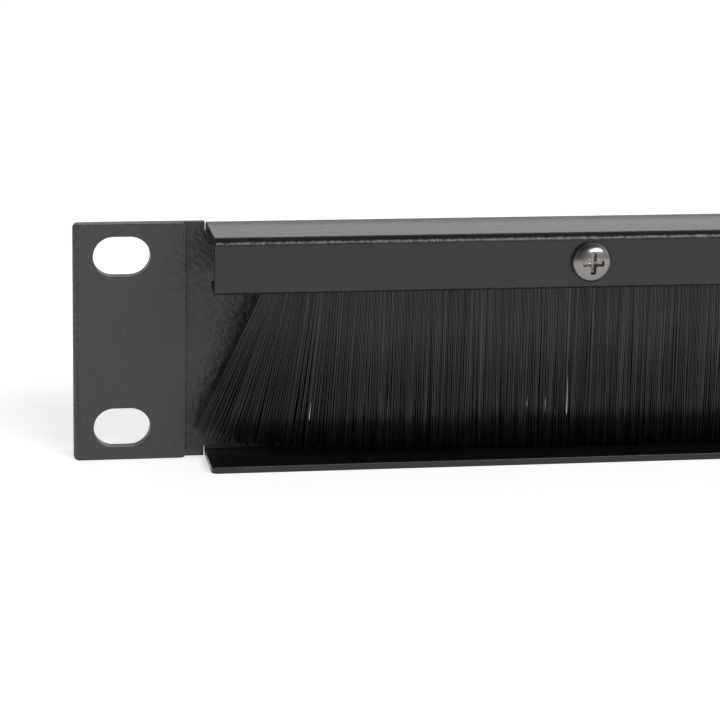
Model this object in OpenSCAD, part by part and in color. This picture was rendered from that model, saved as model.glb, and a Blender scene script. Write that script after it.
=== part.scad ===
/* [Rack panel] */
// Width of the panel across both ears
panel_w = 482.6; // [440:0.1:560]
// Height of the panel, one rack unit less its clearance
panel_h = 43.7; // [42:0.1:47]
// Thickness of the steel sheet with its powder coat
sheet_t = 1.3; // [1:0.05:1.6]
// Air left inside the closed hem of each ear
hem_gap = 0.06; // [0.04:0.01:0.2]
// Width of the flap that is folded back over each ear
ear_w = 20.3; // [18:0.1:23]
// Inside radius of the channel and flange bends
bend_r = 0.2; // [0.1:0.05:0.6]
// Radius on the free corners of the ears
corner_r = 0.8; // [0.3:0.1:1.5]

/* [Rack slots] */
// Distance from the panel's end to the centres of its slots
slot_edge = 8.75; // [7.5:0.05:9.5]
// Distance between the upper and lower slot centres
slot_pitch_z = 31.75; // [28:0.05:33]
// Length of each slot from end to end
slot_l = 10.3; // [9:0.1:12]
// Width of each slot, twice its end radius
slot_w = 7.3; // [5.5:0.1:8]

/* [Channel and flange] */
// Distance from the panel's end to the ends of the channel and the flange
shoulder = 23.9; // [23.2:0.1:40]
// Depth of the channel from the back of the panel to its front face
channel_d = 16; // [15:0.1:24]
// Height of the channel's front face
channel_h = 10.3; // [9.8:0.1:13]
// Width of the lip that turns back under the channel
lip_w = 6.6; // [4:0.1:7.2]
// Depth of the bottom flange from the back of the panel
flange_d = 13.2; // [9:0.1:20]
// Radius on the front corners of the flange
flange_r = 1; // [0.4:0.1:3]
// Width of the slit cut beside each bend
relief_w = 0.2; // [0.1:0.05:0.6]
// Depth of the slit past the bend
relief_extra = 0.3; // [0.1:0.1:1]

/* [Cable window] */
// Distance from the end of the brush to the end of the cable window
window_inset = 6.5; // [4:0.5:40]
// Height of the strip of sheet left under the window
window_sill = 5.8; // [4:0.1:9]
// Depth of the sheet left above the window, from the top of the panel
window_head = 12.5; // [11:0.1:16]
// Radius of the window's corners
window_r = 3; // [1:0.5:6]

/* [Brush] */
// Distance from the end of the channel to the end of the brush
brush_inset = 10.9; // [5:0.1:30]
// Clearance of the carrier under the channel's top and behind its front
carrier_gap = 0.3; // [0.2:0.05:0.5]
// Wall of the carrier round the groove for the strip
carrier_wall = 1.3; // [1:0.1:1.6]
// Width and height of the two ledges that hold the strip in the groove
ledge = 0.6; // [0.4:0.1:0.8]
// Width of the strip's crimped steel back
back_w = 5.4; // [5:0.1:6]
// Thickness of the steel of the strip's back
back_t = 0.8; // [0.5:0.05:0.9]
// Clearance round the strip's back and round the bristles in it
back_gap = 0.1; // [0.05:0.05:0.2]
// Diameter of the core wire that the bristles are folded round
wire_d = 1.6; // [1.2:0.1:1.8]
// Gap between the bristle tips and the bottom flange
tip_gap = 0.5; // [0.3:0.1:4]
// Thickness of the bristle curtain at its tips
curtain_t = 5; // [4:0.1:5.6]
// Lean of the outermost bristles, in degrees
fan_angle = 25; // [0:1:27]
// Distance from the end of the brush over which the lean dies away
fan_reach = 6.5; // [3:0.5:12]
// How much shorter the outermost bristles are
end_trim = 1.2; // [0:0.1:3]
// Average width of the tufts that the bristles part into
tuft_w = 2.6; // [2:0.1:6]
// Depth of the partings between the tufts, at the tips
parting = 0.8; // [0:0.1:1.2]

/* [Screws] */
// Spacing of the three screws along the channel
screw_pitch = 150; // [90:1:180]
// Diameter of the thread
screw_d = 4; // [3:0.5:4.5]
// Length of the screw under its head
screw_l = 6; // [4.5:0.5:6]
// Diameter of the pan head
head_d = 7.2; // [6.4:0.1:7.6]
// Height of the pan head
head_h = 2.4; // [1.8:0.1:3]
// Width of each arm of the cross recess
recess_w = 0.95; // [0.6:0.05:1.2]
// Span of the cross recess from end to end
recess_span = 4; // [3:0.1:4.4]
// Depth of the cross recess
recess_depth = 1.5; // [1:0.1:1.7]
// Turn of the cross recess, in degrees
recess_turn = 17; // [0:1:45]

/* [Hidden] */
$fn = 48;
over = 1;      // how far a cutting tool runs past the face it opens
thread_gap = 0.1; // clearance of a shank in its hole, on the diameter
hole_gap = 0.6;   // clearance of a shank in the channel, on the diameter

// The section is drawn as depth in front of the panel's back face, then height.
top_z = panel_h / 2;
bottom_z = -top_z;
bend_out = bend_r + sheet_t;
body_w = panel_w - 2 * shoulder;
lip_z = top_z - channel_h;
cavity_z0 = lip_z + sheet_t;
cavity_z1 = top_z - sheet_t;
cavity_front = channel_d - sheet_t;
ear_t = 2 * sheet_t + hem_gap;
slot_x = panel_w / 2 - slot_edge;
slot_z = slot_pitch_z / 2;

carrier_l = body_w - 2 * brush_inset;
carrier_front = cavity_front - carrier_gap;
carrier_top = cavity_z1 - carrier_gap;
groove_u0 = sheet_t + carrier_wall;
groove_w = back_w + 2 * back_gap;
groove_z0 = cavity_z0 + ledge;
groove_z1 = carrier_top - carrier_wall;
brush_u = groove_u0 + groove_w / 2;

back_z1 = groove_z1 - back_gap;
root_t = back_w - 2 * back_t - 2 * back_gap;
wire_z = back_z1 - back_t - back_gap - root_t / 2;
root_z = cavity_z0;
tip_z = bottom_z + sheet_t + tip_gap;
bristle_l = root_z - tip_z;

screw_z = top_z - channel_h / 2;
screw_tip_u = channel_d - screw_l;

// Runs a section, drawn as depth and height, along the panel's length
module along(length) {
    translate([-length / 2, 0, 0]) rotate([90, 0, 90]) mirror([1, 0, 0]) linear_extrude(length) children();
}

// Runs an outline, drawn as length and height, through the sheet from depth u0 to depth u1
module through(u0, u1) {
    translate([0, -u0, 0]) rotate([90, 0, 0]) linear_extrude(u1 - u0) children();
}

// Quarter ring of sheet about a bend line, on the side and end given as 1 or -1
module bend(u, z, side, end) {
    translate([u, z]) intersection() {
        difference() {
            circle(bend_out);
            circle(bend_r);
        }
        translate([min(side, 0) * bend_out, min(end, 0) * bend_out]) square(bend_out);
    }
}

// Rectangle with round corners, given by its low and high corners
module round_box(x0, z0, x1, z1, r) {
    translate([x0 + r, z0]) square([x1 - x0 - 2 * r, z1 - z0]);
    translate([x0, z0 + r]) square([x1 - x0, z1 - z0 - 2 * r]);
    for (x = [x0 + r, x1 - r], z = [z0 + r, z1 - r]) translate([x, z]) circle(r);
}

// Back, channel, lip and flange as one folded section
module body_section() {
    translate([0, bottom_z + bend_out]) square([sheet_t, panel_h - 2 * bend_out]);
    bend(bend_out, top_z - bend_out, -1, 1);
    translate([bend_out, cavity_z1]) square([channel_d - 2 * bend_out, sheet_t]);
    bend(channel_d - bend_out, top_z - bend_out, 1, 1);
    translate([cavity_front, lip_z + bend_out]) square([sheet_t, channel_h - 2 * bend_out]);
    bend(channel_d - bend_out, lip_z + bend_out, 1, -1);
    translate([channel_d - lip_w, lip_z]) square([lip_w - bend_out, sheet_t]);
    bend(bend_out, bottom_z + bend_out, -1, -1);
    translate([bend_out, bottom_z]) square([flange_d - bend_out, sheet_t]);
}

// Right-hand end of the panel: the back layer, the fold and the flap over it, seen from above
module ear_section() {
    fold_x = panel_w / 2 - ear_t / 2;
    translate([0, -sheet_t]) square([fold_x, sheet_t]);
    translate([panel_w / 2 - ear_w, -ear_t]) square([ear_w - ear_t / 2, sheet_t]);
    translate([fold_x, -ear_t / 2]) difference() {
        circle(ear_t / 2);
        circle(hem_gap / 2);
        translate([-ear_t, -ear_t]) square([ear_t, 2 * ear_t]);
    }
}

// One ear, trimmed to its round corners
module ear() {
    intersection() {
        translate([0, 0, bottom_z]) linear_extrude(panel_h) ear_section();
        union() {
            through(-over, sheet_t + hem_gap / 2) intersection() {
                round_box(body_w / 2 - 2 * corner_r, bottom_z, panel_w / 2, top_z, corner_r);
                translate([body_w / 2, bottom_z]) square([shoulder, panel_h]);
            }
            through(sheet_t + hem_gap / 2, ear_t + over)
                round_box(panel_w / 2 - ear_w, bottom_z, panel_w / 2, top_z, corner_r);
        }
    }
}

// Slot with half-round ends
module slot() {
    for (side = [-1, 1])
        translate([side * (slot_l - slot_w) / 2, over, 0])
            rotate([90, 0, 0]) cylinder(d = slot_w, h = ear_t + 2 * over);
    translate([(slot_w - slot_l) / 2, -ear_t - over, -slot_w / 2])
        cube([slot_l - slot_w, ear_t + 2 * over, slot_w]);
}

// What is cut away to round the flange's right-hand front corner
module flange_corner() {
    translate([body_w / 2 - flange_r, flange_r - flange_d, bottom_z - over]) difference() {
        translate([0, -flange_r - over, 0]) cube([flange_r + over, flange_r + over, sheet_t + 2 * over]);
        translate([0, 0, -over]) cylinder(r = flange_r, h = sheet_t + 4 * over);
    }
}

module panel() {
    window_x = carrier_l / 2 - window_inset;
    relief_d = bend_out + relief_extra;
    color([0.16, 0.16, 0.17]) difference() {
        union() {
            along(body_w) body_section();
            ear();
            mirror([1, 0, 0]) ear();
        }
        for (sx = [-1, 1], sz = [-1, 1]) translate([sx * slot_x, 0, sz * slot_z]) slot();
        for (sx = [-1, 1], sz = [-1, 1])
            translate([sx * (body_w + relief_w) / 2, -sheet_t / 2, sz * (top_z - relief_d / 2 + over / 2)])
                cube([relief_w, sheet_t + 2 * over, relief_d + over], center = true);
        through(-over, sheet_t + over)
            round_box(-window_x, bottom_z + window_sill, window_x, top_z - window_head, window_r);
        for (i = [-1:1])
            translate([i * screw_pitch, -cavity_front + over, screw_z])
                rotate([90, 0, 0]) cylinder(d = screw_d + hole_gap, h = sheet_t + 2 * over);
        for (side = [0, 1]) mirror([side, 0, 0]) flange_corner();
    }
}

// Extruded bar that fills the channel, holds the strip in its groove and takes the screws
module carrier() {
    color([0.3, 0.3, 0.31]) difference() {
        along(carrier_l) difference() {
            translate([sheet_t, cavity_z0]) square([carrier_front - sheet_t, carrier_top - cavity_z0]);
            translate([groove_u0, groove_z0]) square([groove_w, groove_z1 - groove_z0]);
            translate([groove_u0 + ledge, cavity_z0 - over]) square([groove_w - 2 * ledge, ledge + 2 * over]);
        }
        for (i = [-1:1])
            translate([i * screw_pitch, -(screw_tip_u - thread_gap), screw_z])
                rotate([90, 0, 0]) cylinder(d = screw_d + thread_gap, h = carrier_front - screw_tip_u + 2 * over);
    }
}

// Steel channel crimped over the bristles and their wire
module strip_back() {
    fold_r = back_t + 0.2;
    color([0.7, 0.71, 0.72]) along(carrier_l) translate([brush_u, 0]) difference() {
        union() {
            round_box(-back_w / 2, groove_z0, back_w / 2, back_z1, fold_r);
            translate([-back_w / 2, groove_z0]) square([back_w, back_z1 - groove_z0 - fold_r]);
        }
        translate([back_t - back_w / 2, groove_z0 - over])
            square([back_w - 2 * back_t, back_z1 - back_t - groove_z0 + over]);
    }
}

module core_wire() {
    color([0.75, 0.75, 0.76])
        translate([-carrier_l / 2, -brush_u, wire_z]) rotate([0, 90, 0]) cylinder(d = wire_d, h = carrier_l);
}

// How much of the fan a bristle has that leaves the strip at x: all at the end, less further in
function fan(x) = exp((abs(x) - carrier_l / 2) / fan_reach);

// Lean of a bristle that leaves the strip at x
function lean(x) = sign(x) * fan_angle * fan(x);

// Point of the curtain: bristle root x, share of its length, half thickness there
function curtain_point(x, share, cut, half) =
    let (run = (bristle_l - cut - end_trim * fan(x)) * share)
    [x + run * sin(lean(x)), -brush_u + half, root_z - run * cos(lean(x))];

// Where the parting or tuft numbered i from the middle lies: partings are even, tufts odd
function tuft_x(i) = tuft_w * (i / 2 + 0.13 * sin(70 * i) + 0.08 * sin(113 * i + 20));

// Bristles below the strip: tufts that swell, part and lean out towards both ends
module curtain() {
    shares = [0, 0.2, 0.5, 0.8, 1];
    depths = [0, 0.1, 0.4, 0.8, 1];
    n = floor(carrier_l / tuft_w);
    m = 2 * n;
    rows = len(shares);
    function edge(i) = i == 0 || i == m;
    function parted(i) = !edge(i) && (i - n) % 2 == 0;
    function x_at(i) = edge(i) ? sign(i - n) * carrier_l / 2 : tuft_x(i - n);
    function cut_at(i) = 0.3 + 0.3 * sin(131 * (i - n)) + (parted(i) ? 0.5 : 0);
    function parting_at(i) = parting * (parted(i) ? 0.75 + 0.25 * sin(97 * (i - n)) : 0.1 + 0.1 * sin(59 * (i - n)));
    function half_at(i, j) =
        root_t / 2 + (curtain_t - root_t) / 2 * shares[j] - parting_at(i) * depths[j];
    function at(i, j, side) = 2 * (i * rows + j) + side;
    points = [
        for (i = [0:m], j = [0:rows - 1], side = [1, -1])
            curtain_point(x_at(i), shares[j], cut_at(i), side * half_at(i, j))
    ];
    quads = [
        for (i = [0:m - 1], j = [0:rows - 2]) each [
            [at(i, j, 0), at(i + 1, j, 0), at(i + 1, j + 1, 0), at(i, j + 1, 0)],
            [at(i, j, 1), at(i, j + 1, 1), at(i + 1, j + 1, 1), at(i + 1, j, 1)]
        ],
        for (i = [0:m - 1]) each [
            [at(i, 0, 0), at(i, 0, 1), at(i + 1, 0, 1), at(i + 1, 0, 0)],
            [at(i, rows - 1, 0), at(i + 1, rows - 1, 0), at(i + 1, rows - 1, 1), at(i, rows - 1, 1)]
        ],
        for (j = [0:rows - 2]) each [
            [at(0, j, 0), at(0, j + 1, 0), at(0, j + 1, 1), at(0, j, 1)],
            [at(m, j, 0), at(m, j, 1), at(m, j + 1, 1), at(m, j + 1, 0)]
        ]
    ];
    polyhedron(points, [for (q = quads) each [[q[0], q[2], q[1]], [q[0], q[3], q[2]]]]);
}

// Bristles: doubled round the wire inside the strip, then the open curtain
module bristles() {
    color([0.1, 0.1, 0.11]) {
        along(carrier_l) difference() {
            union() {
                translate([brush_u, wire_z]) circle(root_t / 2);
                translate([brush_u - root_t / 2, root_z]) square([root_t, wire_z - root_z]);
            }
            translate([brush_u, wire_z]) circle(d = wire_d);
        }
        curtain();
    }
}

// Pan-head machine screw with a cross recess, at the place numbered -1, 0 or 1
module screw(place) {
    edge_h = head_h * 0.35;
    dome_h = head_h - edge_h;
    dome_r = (pow(head_d / 2, 2) + pow(dome_h, 2)) / (2 * dome_h);
    tip = 0.6;
    color([0.62, 0.62, 0.6])
        translate([place * screw_pitch, -channel_d, screw_z]) rotate([90, 0, 0]) difference() {
            rotate_extrude() {
                translate([0, -screw_l]) polygon([[0, 0], [screw_d / 2 - tip, 0], [screw_d / 2, tip], [screw_d / 2, screw_l], [0, screw_l]]);
                square([head_d / 2, edge_h]);
                intersection() {
                    translate([0, head_h - dome_r]) circle(dome_r);
                    translate([0, edge_h]) square([head_d / 2, dome_h]);
                }
            }
            rotate(recess_turn) translate([0, 0, head_h - recess_depth]) {
                for (turn = [0, 90])
                    rotate(turn) translate([-recess_span / 2, -recess_w / 2, 0]) cube([recess_span, recess_w, recess_depth + over]);
                cylinder(d1 = recess_w, d2 = recess_span * 0.6, h = recess_depth);
            }
        }
}

panel();
carrier();
strip_back();
core_wire();
bristles();
screw(-1);  // screw_left
screw(0);  // screw_centre
screw(1);  // screw_right
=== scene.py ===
import math

import bmesh
import bpy
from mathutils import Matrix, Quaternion, Vector


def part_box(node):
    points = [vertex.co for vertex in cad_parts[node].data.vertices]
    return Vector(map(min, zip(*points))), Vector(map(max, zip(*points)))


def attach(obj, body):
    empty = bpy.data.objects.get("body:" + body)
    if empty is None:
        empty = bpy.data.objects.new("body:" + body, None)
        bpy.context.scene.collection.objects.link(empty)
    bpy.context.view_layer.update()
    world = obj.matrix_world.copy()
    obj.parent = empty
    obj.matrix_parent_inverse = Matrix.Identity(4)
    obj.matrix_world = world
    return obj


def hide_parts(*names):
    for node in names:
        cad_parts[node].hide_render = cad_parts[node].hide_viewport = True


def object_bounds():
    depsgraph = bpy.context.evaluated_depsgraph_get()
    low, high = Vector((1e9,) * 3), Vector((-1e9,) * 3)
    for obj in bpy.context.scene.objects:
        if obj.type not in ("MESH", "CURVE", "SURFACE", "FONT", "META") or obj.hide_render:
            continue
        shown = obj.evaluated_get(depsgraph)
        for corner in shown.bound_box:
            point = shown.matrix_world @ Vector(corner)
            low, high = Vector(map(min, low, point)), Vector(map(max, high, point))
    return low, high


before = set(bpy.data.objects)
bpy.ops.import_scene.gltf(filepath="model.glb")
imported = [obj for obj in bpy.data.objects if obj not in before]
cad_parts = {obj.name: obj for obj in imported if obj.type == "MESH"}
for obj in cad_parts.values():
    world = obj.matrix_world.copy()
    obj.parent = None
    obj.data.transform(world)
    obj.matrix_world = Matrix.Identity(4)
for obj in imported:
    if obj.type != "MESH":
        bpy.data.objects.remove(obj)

MM = 0.001
solid_box = [list(corner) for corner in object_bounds()]
scene = bpy.context.scene

# ---- Studio -----------------------------------------------------------------
# A white table top that glows a little from below, a room that is bright at the
# horizon and dim overhead, and one softbox in front of the panel, above the eye.
# The camera looks down on the left-hand ear from in front of it.
scene.view_settings.view_transform = "Standard"


def linear(hex_colour):
    """sRGB hex value as the linear colour that Blender works in."""
    values = [int(hex_colour[i:i + 2], 16) / 255 for i in (1, 3, 5)]
    return tuple(v / 12.92 if v <= 0.04045 else ((v + 0.055) / 1.055) ** 2.4
                 for v in values) + (1.0,)


def add(tree, kind, inputs=None, **settings):
    """One new node, with its settings, and its inputs set to values or linked to sockets."""
    made = tree.nodes.new(kind)
    for name, value in settings.items():
        setattr(made, name, value)
    for name, value in (inputs or {}).items():
        if isinstance(value, bpy.types.NodeSocket):
            tree.links.new(value, made.inputs[name])
        else:
            made.inputs[name].default_value = value
    return made


def finish_named(name, **shader):
    """A new material with its Principled shader set, and the tree's Object coordinates."""
    material = bpy.data.materials.new(name)
    material.use_nodes = True
    tree = material.node_tree
    surface = tree.nodes["Principled BSDF"]
    for key, value in shader.items():
        surface.inputs[key.replace("_", " ")].default_value = value
    return material, tree, surface, add(tree, "ShaderNodeTexCoord").outputs["Object"]


room = bpy.data.worlds.new("studio_room")
room.use_nodes = True
scene.world = room
room_tree = room.node_tree
room_way = add(room_tree, "ShaderNodeSeparateXYZ",
               {0: add(room_tree, "ShaderNodeTexCoord").outputs["Generated"]}).outputs


def room_fade(axis, start, end, low, high):
    """Brightness of the room from low to high as a look along an axis goes from start to end."""
    return add(room_tree, "ShaderNodeMapRange", {
        "Value": room_way[axis], "From Min": start, "From Max": end,
        "To Min": low, "To Max": high}).outputs["Result"]


room_level = room_fade("Z", start=0.45, end=0.8, low=1.15, high=0.25)
for level in (room_fade("Y", start=-0.3, end=0.3, low=0.5, high=1.0),
              room_fade("X", start=-0.6, end=0.2, low=0.3, high=1.0)):
    room_level = add(room_tree, "ShaderNodeMath", {0: room_level, 1: level},
                     operation="MULTIPLY").outputs[0]
room_tree.nodes["Background"].inputs["Color"].default_value = linear("#FFFFFF")
room_tree.links.new(room_level, room_tree.nodes["Background"].inputs["Strength"])

floor_half = 15.0
floor_mesh = bpy.data.meshes.new("floor")
floor_mesh.from_pydata([(x * floor_half, y * floor_half, solid_box[0][2])
                        for x, y in ((-1, -1), (1, -1), (1, 1), (-1, 1))], [], [(0, 1, 2, 3)])
floor = bpy.data.objects.new("floor", floor_mesh)
scene.collection.objects.link(floor)
floor_mesh.materials.append(finish_named(
    "white_table_top", Base_Color=linear("#EDEDED"), Roughness=0.9,
    Emission_Color=linear("#FFFFFF"), Emission_Strength=0.6)[0])


def softbox(name, place, aim, width, height, watts):
    """A rectangular area light, aimed at a point, that the camera doesn't see."""
    lamp = bpy.data.lights.new(name, "AREA")
    lamp.shape, lamp.size, lamp.size_y, lamp.energy = "RECTANGLE", width, height, watts
    light = bpy.data.objects.new(name, lamp)
    light.location = place
    light.rotation_euler = (Vector(aim) - Vector(place)).to_track_quat("-Z", "Y").to_euler()
    light.visible_camera = False
    scene.collection.objects.link(light)


softbox("front_softbox", place=(0.45, -1.1, 0.95), aim=(-0.1, 0, 0), width=1.3, height=0.4,
        watts=14.0)

camera = bpy.data.objects.new("camera", bpy.data.cameras.new("camera"))
camera.data.lens, camera.data.sensor_width = 143.34, 36.0
camera.data.clip_start, camera.data.clip_end = 0.05, 60.0
camera_yaw, camera_down, camera_roll = (math.radians(a) for a in (9.52, 15.0, 1.14))
sight = Vector((math.sin(camera_yaw) * math.cos(camera_down),
                math.cos(camera_yaw) * math.cos(camera_down),
                -math.sin(camera_down)))
camera.location = Vector((-272.72, -500.91, 131.23)) * MM
camera.rotation_mode = "QUATERNION"
camera.rotation_quaternion = sight.to_track_quat("-Z", "Y") @ Quaternion((0, 0, 1), camera_roll)
scene.collection.objects.link(camera)
scene.camera = camera

# ---- Panel ------------------------------------------------------------------
# One sheet of 1.2 mm mild steel, punched and folded: a channel with a lip along
# the top, a flange along the bottom, and a hem closed flat on each ear.
# It is powder coated black after folding, which rounds every cut edge a little.
sheet = 1.3 * MM          # with its coat
hem_air = 0.06 * MM       # between the layers of the hem
coat_edge = 0.2 * MM      # radius that the coat gives to a cut edge
slit_at = 217.5 * MM      # from the panel's middle to the slits beside the bends
slit_near = 0.2 * MM      # how far from slit_at the corners of a slit may lie
slit_start = 19.9 * MM    # how far above or below the middle the slits begin
weld = 0.0005 * MM        # corners closer than this are one
sliver = 0.01 * MM * MM   # the edges of a smaller face stay as they are
flat_turn = math.radians(0.5)    # faces that turn less than this are one
edge_turn = math.radians(35)     # an edge that turns more than this is rounded
crease_turn = math.radians(32)   # an edge that turns more than this is shaded sharp


def coated_edges(mesh):
    """Edges of the sheet to be rounded: all sharp ones outside the hem and the slits."""
    hem_line = -sheet - hem_air / 2

    def in_slit(v):
        return (abs(abs(v.co.x) - slit_at) < slit_near and v.co.y > -sheet - hem_air
                and abs(v.co.z) > slit_start)

    return [edge for edge in mesh.edges
            if len(edge.link_faces) == 2 and edge.calc_face_angle() > edge_turn
            and not all(abs(v.co.y - hem_line) < hem_air for v in edge.verts)
            and not all(in_slit(v) for v in edge.verts)
            and min(face.calc_area() for face in edge.link_faces) > sliver]


panel_form = bmesh.new()
panel_form.from_mesh(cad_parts["panel"].data)
bmesh.ops.remove_doubles(panel_form, verts=panel_form.verts, dist=weld)
bmesh.ops.dissolve_limit(panel_form, angle_limit=flat_turn, verts=panel_form.verts,
                         edges=panel_form.edges)
bmesh.ops.bevel(panel_form, geom=coated_edges(panel_form), offset=coat_edge, offset_type="OFFSET",
                segments=3, profile=0.5, affect="EDGES", clamp_overlap=False, material=-1)
bmesh.ops.recalc_face_normals(panel_form, faces=panel_form.faces)
panel_mesh = bpy.data.meshes.new("folded_panel")
panel_form.to_mesh(panel_mesh)
panel_form.free()
panel_mesh.shade_smooth()
panel_mesh.set_sharp_from_angle(angle=crease_turn)
panel = bpy.data.objects.new("folded_panel", panel_mesh)
scene.collection.objects.link(panel)
even_faces = panel.modifiers.new("even_faces", "WEIGHTED_NORMAL")
even_faces.keep_sharp = True
panel_mesh = bpy.data.meshes.new_from_object(
    panel.evaluated_get(bpy.context.evaluated_depsgraph_get()))
panel.modifiers.remove(even_faces)
panel.data = panel_mesh

# Powder coat: thermoset polyester sprayed dry and baked. It is a near-black satin
# with a fine orange peel, thicker and duller on the back of the panel, so the peel is stronger
# there;
# the back's black is painted paler than the channel's, as painted light for the sheen its stronger
# peel catches.
coat, coat_tree, coat_surface, coat_place = finish_named(
    "black_powder_coat", Base_Color=linear("#1F1E21"), Roughness=0.3)
peel_size = 0.9 * MM
peel_deep = 0.3 * MM
thin_before, thick_behind = -6 * MM, -3 * MM   # places along Y
peel = add(coat_tree, "ShaderNodeTexNoise", {
    "Vector": coat_place, "Scale": 1 / peel_size, "Detail": 2.5, "Roughness": 0.55})
coat_depth = add(coat_tree, "ShaderNodeSeparateXYZ", {0: coat_place}).outputs["Y"]
coat_thick = add(coat_tree, "ShaderNodeMapRange", {
    "Value": coat_depth, "From Min": thin_before, "From Max": thick_behind,
    "To Min": 0.0, "To Max": 1.0}).outputs["Result"]
coat_strength = add(coat_tree, "ShaderNodeMapRange", {
    "Value": coat_thick, "To Min": 0.35, "To Max": 1.0})
coat_rough = add(coat_tree, "ShaderNodeMapRange", {
    "Value": coat_thick, "To Min": 0.3, "To Max": 0.4})
# painted light: the back of the panel paler than the channel and flange, for the sheen its stronger
# peel catches
coat_black_and_painted_light = add(coat_tree, "ShaderNodeValToRGB", {"Fac": coat_thick})
coat_black_and_painted_light.color_ramp.elements[0].color = linear("#131315")
coat_black_and_painted_light.color_ramp.elements[1].color = linear("#333136")
coat_tree.links.new(coat_black_and_painted_light.outputs["Color"], coat_surface.inputs["Base Color"])
coat_bump = add(coat_tree, "ShaderNodeBump", {
    "Height": peel.outputs["Fac"], "Distance": peel_deep,
    "Strength": coat_strength.outputs["Result"]})
coat_tree.links.new(coat_bump.outputs["Normal"], coat_surface.inputs["Normal"])
coat_tree.links.new(coat_rough.outputs["Result"], coat_surface.inputs["Roughness"])
panel_mesh.materials.clear()
panel_mesh.materials.append(coat)
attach(panel, "root")
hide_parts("panel")

# ---- Carrier ----------------------------------------------------------------
# An extruded aluminium bar that fills the channel and holds the brush strip in its
# groove; black anodised, so it stays a metal: dark, satin, with faint die lines.
anodised, anodised_tree, anodised_surface, anodised_place = finish_named(
    "black_anodised_aluminium", Base_Color=linear("#2E2E31"), Metallic=0.8, Roughness=0.34)
die_line = 0.35 * MM       # across the bar
die_line_deep = 0.01 * MM
die_lines_a_metre = 12.0   # along the bar
along_bar = add(anodised_tree, "ShaderNodeMapping", {
    "Vector": anodised_place, "Scale": (die_lines_a_metre, 1 / die_line, 1 / die_line)})
die_marks = add(anodised_tree, "ShaderNodeTexNoise", {
    "Vector": along_bar.outputs["Vector"], "Scale": 1.0, "Detail": 3.0})
anodised_rough = add(anodised_tree, "ShaderNodeMapRange", {
    "Value": die_marks.outputs["Fac"], "To Min": 0.26, "To Max": 0.46})
anodised_tree.links.new(anodised_rough.outputs["Result"], anodised_surface.inputs["Roughness"])
anodised_bump = add(anodised_tree, "ShaderNodeBump", {
    "Height": die_marks.outputs["Fac"], "Distance": die_line_deep, "Strength": 0.6})
anodised_tree.links.new(anodised_bump.outputs["Normal"], anodised_surface.inputs["Normal"])
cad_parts["carrier"].data.materials.clear()
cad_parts["carrier"].data.materials.append(anodised)

# ---- Strip back and core wire -----------------------------------------------
# The strip is a steel channel crimped over bristles folded round a core wire. Both
# are zinc plated: bluish silver, lightly mottled where the plating took unevenly.
zinc, zinc_tree, zinc_surface, zinc_place = finish_named(
    "zinc_plated_steel", Base_Color=linear("#A9ADB2"), Metallic=1.0, Roughness=0.36)
mottle_size = 2.5 * MM
zinc_mottle = add(zinc_tree, "ShaderNodeTexNoise", {
    "Vector": zinc_place, "Scale": 1 / mottle_size, "Detail": 4.0})
zinc_shade = add(zinc_tree, "ShaderNodeValToRGB", {"Fac": zinc_mottle.outputs["Fac"]})
for stop, share, colour in zip(zinc_shade.color_ramp.elements, (0.3, 0.7), ("#8F949B", "#B9BCBF")):
    stop.position, stop.color = share, linear(colour)
zinc_rough = add(zinc_tree, "ShaderNodeMapRange", {
    "Value": zinc_mottle.outputs["Fac"], "To Min": 0.25, "To Max": 0.5})
zinc_tree.links.new(zinc_shade.outputs["Color"], zinc_surface.inputs["Base Color"])
zinc_tree.links.new(zinc_rough.outputs["Result"], zinc_surface.inputs["Roughness"])
for name in ("strip_back", "core_wire"):
    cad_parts[name].data.materials.clear()
    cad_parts[name].data.materials.append(zinc)

# ---- Bristles ---------------------------------------------------------------
# A curtain of straight black nylon filaments, folded round the wire and trimmed
# flat. They part into tufts towards their tips and fan out past the strip's ends.
strip_low, strip_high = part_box("strip_back")
wire_low, wire_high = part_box("core_wire")
brush_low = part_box("bristles")[0]
brush_half = (strip_high.x - strip_low.x) / 2
brush_depth = (wire_low.y + wire_high.y) / 2
wire_height = (wire_low.z + wire_high.z) / 2
wire_radius = (wire_high.z - wire_low.z) / 2
crimp_low = strip_low.z - 0.6 * MM     # where the bristles leave the strip and its ledges
crimp_in = 0.9 * MM                    # how far up the single filaments start
root_half = 1.7 * MM                   # half the thickness of the bundle in the crimp
root_gap = 0.22 * MM                   # between the rows that are packed close
root_scatter = 0.04 * MM               # how far a root stands out of its row
trim_scatter = 1.1 * MM                # how much shorter a filament may be than the longest
stray_share = 0.025                    # share of the filaments that stand far out of line
stray_reach = 1.1 * MM                 # how much farther their tips stray than the others'
filament_d = 0.25 * MM
filament_rows = 8
filaments_in_row = 1650
brush_thirds = 3

# Nylon 6.6 drawn as monofilament: near black and satin. Its colour is painted darker towards
# the tips, a painted shade for the deep gaps between the parted filaments, and each filament has a
# tone of its own.
nylon, nylon_tree, nylon_surface = finish_named(
    "black_nylon_filament", Base_Color=linear("#232325"), Roughness=0.33, IOR=1.53)[:3]
nylon_run = add(nylon_tree, "ShaderNodeAttribute", attribute_name="run").outputs["Fac"]
nylon_own = add(nylon_tree, "ShaderNodeAttribute", attribute_name="tone").outputs["Fac"]
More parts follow.
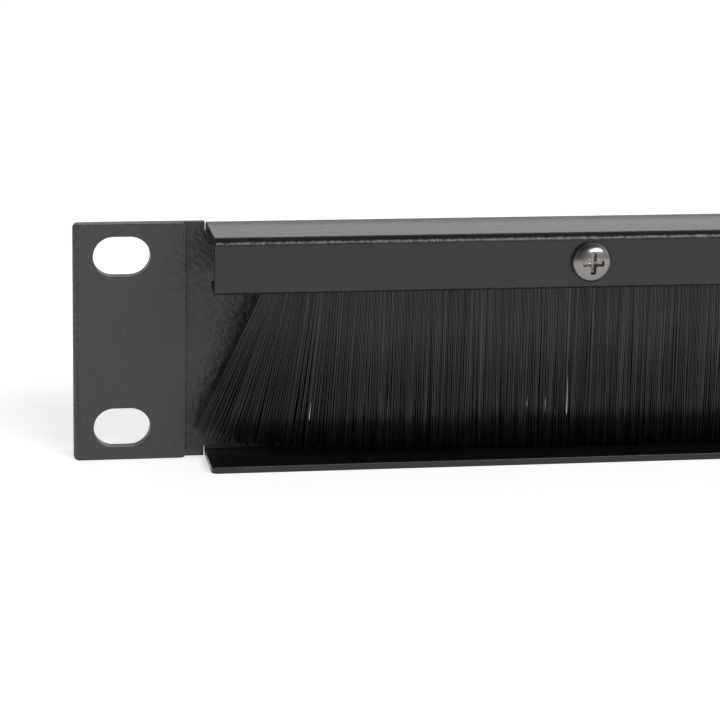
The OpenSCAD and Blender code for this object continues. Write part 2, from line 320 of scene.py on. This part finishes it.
# painted shade: paler near the strip and darker towards the tips, standing in for the shade between
# the filaments
nylon_painted_shade = add(nylon_tree, "ShaderNodeValToRGB", {"Fac": nylon_run})
nylon_painted_shade.color_ramp.elements[0].color = linear("#414143")
nylon_painted_shade.color_ramp.elements[1].color = linear("#1C1C1E")
for share, colour in ((0.35, "#2A2A2C"), (0.62, "#171718")):
    nylon_painted_shade.color_ramp.elements.new(share).color = linear(colour)
nylon_level = add(nylon_tree, "ShaderNodeMapRange", {
    "Value": nylon_own, "To Min": 0.6, "To Max": 1.3})
nylon_tone_and_painted_shade = add(nylon_tree, "ShaderNodeVectorMath", {
    0: nylon_painted_shade.outputs["Color"], "Scale": nylon_level.outputs["Result"]}, operation="SCALE")
nylon_tree.links.new(nylon_tone_and_painted_shade.outputs["Vector"], nylon_surface.inputs["Base Color"])


def bristle_tree():
    """Filaments along a stretch of the strip, which lean, gather into tufts and end at the trim."""
    tree = bpy.data.node_groups.new("bristle_curtain", "GeometryNodeTree")
    sizes = {"Count": ("NodeSocketInt", 8),
             "Seed": ("NodeSocketInt", 4),
             "From": ("NodeSocketFloat", -brush_half),
             "To": ("NodeSocketFloat", brush_half),
             "Half Length": ("NodeSocketFloat", brush_half),
             "Depth": ("NodeSocketFloat", brush_depth),
             "Crimp": ("NodeSocketFloat", crimp_low),
             "Crimp In": ("NodeSocketFloat", crimp_in),
             "Root Half": ("NodeSocketFloat", root_half),
             "Spread": ("NodeSocketFloat", 0.65 * MM),
             "Filament Length": ("NodeSocketFloat", crimp_low - brush_low.z),
             "Filament Diameter": ("NodeSocketFloat", filament_d),
             "Lean": ("NodeSocketFloat", math.radians(25.0)),
             "Reach": ("NodeSocketFloat", 6.5 * MM),
             "End Trim": ("NodeSocketFloat", 1.2 * MM),
             "Tuft": ("NodeSocketFloat", 2.6 * MM),
             "Parting": ("NodeSocketFloat", 0.8 * MM),
             "Gather": ("NodeSocketFloat", 0.34 * MM),
             "Drift": ("NodeSocketFloat", 0.9 * MM),
             "Sway": ("NodeSocketFloat", 0.26 * MM),
             "Material": ("NodeSocketMaterial", None)}
    for name, (kind, value) in sizes.items():
        socket = tree.interface.new_socket(name, in_out="INPUT", socket_type=kind)
        if value is not None:
            socket.default_value = value
    tree.interface.new_socket("Geometry", in_out="OUTPUT", socket_type="NodeSocketGeometry")
    given = tree.nodes.new("NodeGroupInput").outputs

    def calc(operation, *values):
        return add(tree, "ShaderNodeMath", dict(enumerate(values)), operation=operation).outputs[0]

    def total(*values):
        return values[0] if len(values) == 1 else calc("ADD", values[0], total(*values[1:]))

    def product(*values):
        return values[0] if len(values) == 1 else calc("MULTIPLY", values[0], product(*values[1:]))

    def pick(seed, low, high):
        own_seed = calc("ADD", given["Seed"], seed)
        return add(tree, "FunctionNodeRandomValue", {"Min": low, "Max": high, "Seed": own_seed},
                   data_type="FLOAT").outputs[1]

    def noise(x, y, z):
        found = add(tree, "ShaderNodeTexNoise", {
            "Vector": point(x, y, z), "Scale": 1.0, "Detail": 1.0})
        return calc("SUBTRACT", found.outputs["Fac"], 0.5)

    def point(x, y, z):
        return add(tree, "ShaderNodeCombineXYZ", {"X": x, "Y": y, "Z": z}).outputs[0]

    def keep(geometry, name, value, kind="FLOAT"):
        return add(tree, "GeometryNodeStoreNamedAttribute",
                   {"Geometry": geometry, "Name": name, "Value": value},
                   data_type=kind, domain="POINT").outputs[0]

    def kept(name, kind="FLOAT"):
        return add(tree, "GeometryNodeInputNamedAttribute", {"Name": name},
                   data_type=kind).outputs[0]

    # roots: rows packed close at the front and back of the crimp, two loose ones between them
    index = add(tree, "GeometryNodeInputIndex").outputs[0]
    row = calc("MODULO", index, float(filament_rows))
    column = calc("FLOOR", calc("DIVIDE", index, float(filament_rows)))
    columns = calc("DIVIDE", given["Count"], float(filament_rows))
    step = calc("DIVIDE", calc("SUBTRACT", given["To"], given["From"]), columns)
    stagger = total(column, product(calc("MODULO", row, 2.0), 0.5), pick(1, 0.1, 0.4))
    root_x = total(given["From"], product(stagger, step))
    from_face = calc("MINIMUM", row, calc("SUBTRACT", filament_rows - 1.0, row))
    face = calc("SIGN", calc("SUBTRACT", row, filament_rows / 2 - 0.5))
    packed = product(face, calc("SUBTRACT", given["Root Half"], product(from_face, root_gap)))
    loose_row = product(pick(2, -0.6, 0.6), given["Root Half"])
    is_loose = calc("GREATER_THAN", from_face, 2.5)
    root_y = total(product(packed, calc("SUBTRACT", 1.0, is_loose)), product(loose_row, is_loose),
                   pick(8, -root_scatter, root_scatter))
    roots = add(tree, "GeometryNodePoints", {
        "Count": given["Count"], "Position": point(root_x, root_y, 0.0)}).outputs[0]
    for name, seed, low, high in (("trim", 3, 0.0, 1.0), ("stray", 4, 0.0, 1.0),
                                  ("curl_x", 5, -1.0, 1.0), ("curl_y", 6, -1.0, 1.0),
                                  ("turn", 7, 0.0, 2.1), ("tone", 9, 0.0, 1.0)):
        roots = keep(roots, name, pick(seed, low, high))
    position = add(tree, "GeometryNodeInputPosition").outputs[0]
    roots = keep(roots, "root", position, "FLOAT_VECTOR")

    # one filament, 1 long and 1 across; its first ring lies just below the crimp
    blank = add(tree, "GeometryNodeMeshCylinder", {
        "Vertices": 3, "Side Segments": 5, "Fill Segments": 1, "Radius": 0.5, "Depth": 1.0},
        fill_type="NGON").outputs["Mesh"]
    at = add(tree, "ShaderNodeSeparateXYZ", {0: position}).outputs
    blank = keep(blank, "share", calc("SUBTRACT", 0.5, at["Z"]))
    blank = keep(blank, "ring_x", at["X"])
    blank = keep(blank, "ring_y", at["Y"])
    spread = add(tree, "GeometryNodeInstanceOnPoints", {
        "Points": roots, "Instance": blank}).outputs[0]
    hairs = add(tree, "GeometryNodeRealizeInstances", {"Geometry": spread}).outputs[0]

    share, stray = kept("share"), kept("stray")
    root = add(tree, "ShaderNodeSeparateXYZ", {0: kept("root", "FLOAT_VECTOR")}).outputs
    run = calc("MAXIMUM", product(calc("SUBTRACT", share, 0.2), 1.25), 0.0)
    above = product(calc("LESS_THAN", share, 0.1), given["Crimp In"])
    from_end = calc("SUBTRACT", given["Half Length"], calc("ABSOLUTE", root["X"]))
    fan = calc("EXPONENT", calc("DIVIDE", product(from_end, -1.0), given["Reach"]))
    lean = product(fan, given["Lean"], calc("SIGN", root["X"]))
    short = total(product(calc("POWER", kept("trim"), 2.5), trim_scatter),
                  product(fan, given["End Trim"]))
    way = product(run, calc("SUBTRACT", given["Filament Length"], short))
    late = calc("POWER", run, 1.6)

    # tufts: where the filament stands between the partings, which have even numbers and
    # the same uneven spacing as in the solid; three rounds find the number at this place
    place = calc("DIVIDE", root["X"], given["Tuft"])
    number = product(place, 2.0)
    for _ in range(3):
        slow = calc("SINE", product(number, math.radians(70)))
        quick = calc("SINE", total(product(number, math.radians(113)), math.radians(20)))
        swing = total(product(slow, 0.13), product(quick, 0.08))
        number = product(calc("SUBTRACT", place, swing), 2.0)
    half_turn = product(number, math.pi)
    depth = total(0.75, product(calc("SINE", product(number, math.radians(97))), 0.25))
    parted = product(total(0.5, product(calc("COSINE", half_turn), 0.5)), depth,
                     given["Parting"], calc("POWER", run, 1.3))
    gather = product(calc("SINE", half_turn), given["Gather"], depth, late)
    deep = calc("DIVIDE", root["Y"], given["Tuft"])
    wide = noise(product(place, 0.9), product(deep, 0.8), 0.5)
    fine = noise(product(place, 3.3), product(deep, 2.2), 4.5)
    drift = product(total(product(wide, 1.6), product(fine, 0.7)), given["Drift"], late)

    # single filaments that stand out of line, a few of them far
    is_stray = calc("GREATER_THAN", stray, 1 - stray_share)
    loose = total(given["Sway"], product(is_stray, stray_reach))
    sway = product(kept("curl_x"), loose, late)
    kick = product(kept("curl_y"), given["Sway"], late)
    turn, across = kept("turn"), given["Filament Diameter"]
    ring_x = calc("SUBTRACT", product(kept("ring_x"), calc("COSINE", turn)),
                  product(kept("ring_y"), calc("SINE", turn)))
    ring_y = total(product(kept("ring_x"), calc("SINE", turn)),
                   product(kept("ring_y"), calc("COSINE", turn)))
    thick = calc("DIVIDE", calc("SUBTRACT", product(given["Spread"], run), parted),
                 given["Root Half"])
    x = total(root["X"], product(way, calc("SINE", lean)), gather, drift, sway,
              product(ring_x, across))
    y = total(given["Depth"], product(root["Y"], total(1.0, thick)), kick, product(ring_y, across))
    z = calc("SUBTRACT", total(given["Crimp"], above), product(way, calc("COSINE", lean)))
    hairs = keep(hairs, "run", run)
    hairs = add(tree, "GeometryNodeSetPosition", {
        "Geometry": hairs, "Position": point(x, y, z)}).outputs[0]
    for name in ("trim", "stray", "curl_x", "curl_y", "turn", "root", "ring_x", "ring_y", "share"):
        hairs = add(tree, "GeometryNodeRemoveAttribute", {
            "Geometry": hairs, "Name": name}).outputs[0]
    hairs = add(tree, "GeometryNodeSetMaterial", {
        "Geometry": hairs, "Material": given["Material"]}).outputs[0]
    tree.links.new(hairs, tree.nodes.new("NodeGroupOutput").inputs[0])
    return tree


def grown(name, tree, **inputs):
    """The plain mesh object that a Geometry Nodes tree makes with these inputs."""
    seed_mesh = bpy.data.objects.new(name + "_seed", bpy.data.meshes.new(name + "_seed"))
    scene.collection.objects.link(seed_mesh)
    modifier = seed_mesh.modifiers.new("nodes", "NODES")
    modifier.node_group = tree
    sockets = {item.name: item.identifier
               for item in tree.interface.items_tree if item.in_out == "INPUT"}
    for key, value in inputs.items():
        modifier[sockets[key.replace("_", " ")]] = value
    mesh = bpy.data.meshes.new_from_object(
        seed_mesh.evaluated_get(bpy.context.evaluated_depsgraph_get()))
    bpy.data.objects.remove(seed_mesh)
    made = bpy.data.objects.new(name, mesh)
    mesh.name = name
    scene.collection.objects.link(made)
    return made


curtain_tree = bristle_tree()
for third, name in enumerate(("bristles_left", "bristles_middle", "bristles_right")):
    start = brush_half * (2 * third / brush_thirds - 1)
    curtain = grown(name, curtain_tree, From=start, To=start + 2 * brush_half / brush_thirds,
                    Count=filament_rows * filaments_in_row // brush_thirds, Seed=40 * third,
                    Material=nylon)
    curtain.data.shade_smooth()
    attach(curtain, "root")
    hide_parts("bristles")

# The folds of the bristles over the wire, which only show at the strip's ends: one
# packed bundle, round on top and straight below, open round the wire.
fold_sides = 32
fold_radius = 1.78 * MM
fold_bore = wire_radius * 1.02
fold_drop = wire_height - crimp_low - 0.05 * MM   # from the wire's middle to the bundle's foot
fold_section = []
for k in range(fold_sides):
    angle = 2 * math.pi * k / fold_sides
    across, up = math.cos(angle), math.sin(angle)
    out_y, out_z = across * fold_radius, up * fold_radius
    if out_z < 0:
        steep = max(abs(across) / fold_radius, abs(up) / fold_drop)
        out_y, out_z = across / steep, up / steep
    fold_section.append(((across * fold_bore, up * fold_bore), (out_y, out_z)))
fold_points = [(side * brush_half, brush_depth + pair[edge][0], wire_height + pair[edge][1])
               for side in (-1, 1) for edge in (0, 1) for pair in fold_section]
ring = [[first + k for k in range(fold_sides)] for first in range(0, 4 * fold_sides, fold_sides)]
fold_faces = []
for k in range(fold_sides):
    n = (k + 1) % fold_sides
    inner_a, outer_a, inner_b, outer_b = ring
    fold_faces += [(inner_a[k], inner_a[n], outer_a[n], outer_a[k]),
                   (inner_b[k], outer_b[k], outer_b[n], inner_b[n]),
                   (outer_a[k], outer_a[n], outer_b[n], outer_b[k]),
                   (inner_a[k], inner_b[k], inner_b[n], inner_a[n])]
fold_mesh = bpy.data.meshes.new("bristle_folds")
fold_mesh.from_pydata(fold_points, [], fold_faces)
fold_form = bmesh.new()
fold_form.from_mesh(fold_mesh)
bmesh.ops.recalc_face_normals(fold_form, faces=fold_form.faces)
fold_form.to_mesh(fold_mesh)
fold_form.free()
packed_nylon, packed_tree, packed_surface, packed_place = finish_named(
    "packed_nylon_filament", Base_Color=linear("#1E1E20"), Roughness=0.4, IOR=1.53)
packed_deep = 0.08 * MM   # of the grooves between filaments
packed_ends = add(packed_tree, "ShaderNodeTexVoronoi", {
    "Vector": packed_place, "Scale": 1 / filament_d})
packed_bump = add(packed_tree, "ShaderNodeBump", {
    "Height": packed_ends.outputs["Distance"], "Strength": 0.8, "Distance": packed_deep},
    invert=True)
packed_tree.links.new(packed_bump.outputs["Normal"], packed_surface.inputs["Normal"])
fold_mesh.materials.append(packed_nylon)
folds = bpy.data.objects.new("bristle_folds", fold_mesh)
scene.collection.objects.link(folds)
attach(folds, "root")
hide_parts("bristles")

# ---- Screws -----------------------------------------------------------------
# Three M4 pan-head machine screws with a cross recess, cold headed and thread
# rolled in steel, then nickel plated. They hold the channel's front to the carrier.
screw_low, screw_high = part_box("screw_centre")
head_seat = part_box("panel")[0].y
head_radius = (screw_high.x - screw_low.x) / 2
head_height = head_seat - screw_low.y
shank_radius = 2.0 * MM
shank_length = screw_high.y - head_seat
shank_point = 0.6 * MM      # length over which the shank narrows to its end
tip_share = 0.75            # share of its radius that the shank keeps at its end
thread_pitch = 0.7 * MM
thread_depth = 0.35 * MM
thread_rings = 6            # rings of the mesh in each turn of the thread
recess_arm = 0.475 * MM     # half an arm's width
recess_reach = 2.0 * MM     # from the middle to the end of an arm
recess_deep = 1.35 * MM
recess_corner = 0.2 * MM    # radius at the ends of the arms
recess_fillet = 0.35 * MM   # softening where the arms meet
recess_burr = 0.03 * MM     # rounding of the recess's mouth


def recess_edge(angle):
    """Distance from the centre to the edge of a cross with rounded corners, at an angle."""
    def outside(r):
        x, y = abs(r * math.cos(angle)), abs(r * math.sin(angle))
        arms = []
        for a, b in ((x, y), (y, x)):
            dx, dy = a - recess_reach + recess_corner, b - recess_arm + recess_corner
            arms.append(math.hypot(max(dx, 0), max(dy, 0)) + min(max(dx, dy), 0) - recess_corner)
        h = max(recess_fillet - abs(arms[0] - arms[1]), 0) / recess_fillet
        return min(arms) - h * h * recess_fillet / 4
    low, high = 0.0, recess_reach * 1.3
    for _ in range(30):
        middle = (low + high) / 2
        low, high = (middle, high) if outside(middle) < 0 else (low, middle)
    return low


def screw_mesh():
    """One screw along Z, in rings from the head's middle: recess, pan head and threaded shank."""
    sides = 96
    rings = []
    side_height, crown = 0.30 * head_height, 0.70 * head_height

    def crown_height(r):
        return side_height + crown * max(1 - (r / head_radius) ** 2.6, 0) ** 0.62

    edges = [recess_edge(2 * math.pi * i / sides) for i in range(sides)]
    floor_z = crown_height(0) - recess_deep
    # recess: the share of the way out to its edge, and the share of its depth there
    for share, depth in ((0.18, 1.0), (0.55, 0.93), (0.86, 0.78), (0.93, 0.35), (0.975, 0.1)):
        rings.append([(e * share, crown_height(e) - (crown_height(e) - floor_z) * depth)
                      for e in edges])
    rings.append([(e, crown_height(e) - 0.035 * MM) for e in edges])
    mouth = [e * 1.04 for e in edges]
    rings.append([(m + recess_burr, crown_height(m)) for m in mouth])
    # crown: from the mouth of the recess to a circle, then circles out to the rim
    round_from = 0.74 * head_radius
    for share in (0.25, 0.5, 0.75, 1.0):
        ways = [m * (1 - share) + round_from * share for m in mouth]
        rings.append([(r, crown_height(r)) for r in ways])
    for share in (0.8, 0.86, 0.91, 0.95, 0.98, 0.995):
        rings.append([(head_radius * share, crown_height(head_radius * share))] * sides)
    # rim: straight side, with a small round at its foot
    for share, height in ((1.0, side_height), (1.0, 0.12 * MM), (0.985, 0.03 * MM), (0.95, 0.0)):
        rings.append([(head_radius * share, height)] * sides)
    rings.append([(shank_radius, 0.0)] * sides)
    steps = int(shank_length / (thread_pitch / thread_rings))
    for k in range(1, steps + 1):
        z = -k * shank_length / steps
        taper = min(1.0, (shank_length + z) / shank_point)
        ring = []
        for i in range(sides):
            phase = (z / thread_pitch + i / sides) % 1
            cut = thread_depth * (1 - abs(2 * phase - 1))
            ring.append(((shank_radius - cut) * (tip_share + (1 - tip_share) * taper), z))
        rings.append(ring)
    points = [(r * math.cos(2 * math.pi * i / sides), r * math.sin(2 * math.pi * i / sides), z)
              for ring in rings for i, (r, z) in enumerate(ring)]
    faces = [(k * sides + i, (k + 1) * sides + i,
              (k + 1) * sides + (i + 1) % sides, k * sides + (i + 1) % sides)
             for k in range(len(rings) - 1) for i in range(sides)]
    top, bottom = len(points), len(points) + 1
    points += [(0, 0, floor_z), (0, 0, -shank_length)]
    faces += [(top, i, (i + 1) % sides) for i in range(sides)]
    last = (len(rings) - 1) * sides
    faces += [(bottom, last + (i + 1) % sides, last + i) for i in range(sides)]
    mesh = bpy.data.meshes.new("screw_form")
    mesh.from_pydata(points, [], faces)
    return mesh


nickel = finish_named(
    "nickel_plated_steel", Base_Color=linear("#8C8984"), Metallic=1.0, Roughness=0.24)[0]
screw_form = bpy.data.objects.new("screw_form", screw_mesh())
scene.collection.objects.link(screw_form)

row = bpy.data.node_groups.new("screw_row", "GeometryNodeTree")
for name, kind in (("Screw", "NodeSocketObject"), ("Pitch", "NodeSocketFloat"),
                   ("Seat", "NodeSocketVector"), ("Material", "NodeSocketMaterial")):
    row.interface.new_socket(name, in_out="INPUT", socket_type=kind)
row.interface.new_socket("Geometry", in_out="OUTPUT", socket_type="NodeSocketGeometry")
row_given = row.nodes.new("NodeGroupInput").outputs
row_step = add(row, "ShaderNodeCombineXYZ", {"X": row_given["Pitch"]}).outputs[0]
row_start = add(row, "ShaderNodeVectorMath", {0: row_given["Seat"], 1: row_step},
                operation="SUBTRACT").outputs[0]
row_places = add(row, "GeometryNodeMeshLine", {
    "Count": 3, "Start Location": row_start, "Offset": row_step}).outputs[0]
row_screw = add(row, "GeometryNodeObjectInfo", {"Object": row_given["Screw"]}).outputs["Geometry"]
head_to_front = (math.radians(90), 0.0, 0.0)
row_set = add(row, "GeometryNodeInstanceOnPoints", {
    "Points": row_places, "Instance": row_screw, "Rotation": head_to_front}).outputs[0]
row_real = add(row, "GeometryNodeRealizeInstances", {"Geometry": row_set}).outputs[0]
row_done = add(row, "GeometryNodeSetMaterial", {
    "Geometry": row_real, "Material": row_given["Material"]}).outputs[0]
row.links.new(row_done, row.nodes.new("NodeGroupOutput").inputs[0])

screw_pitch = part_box("screw_right")[0].x - screw_low.x
screws = grown("screws", row, Screw=screw_form, Pitch=screw_pitch, Material=nickel,
               Seat=(0.0, head_seat, (screw_low.z + screw_high.z) / 2))
bpy.data.objects.remove(screw_form)
screws.data.shade_smooth()
screws.data.set_sharp_from_angle(angle=math.radians(40))
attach(screws, "root")
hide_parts("screw_left", "screw_centre", "screw_right")
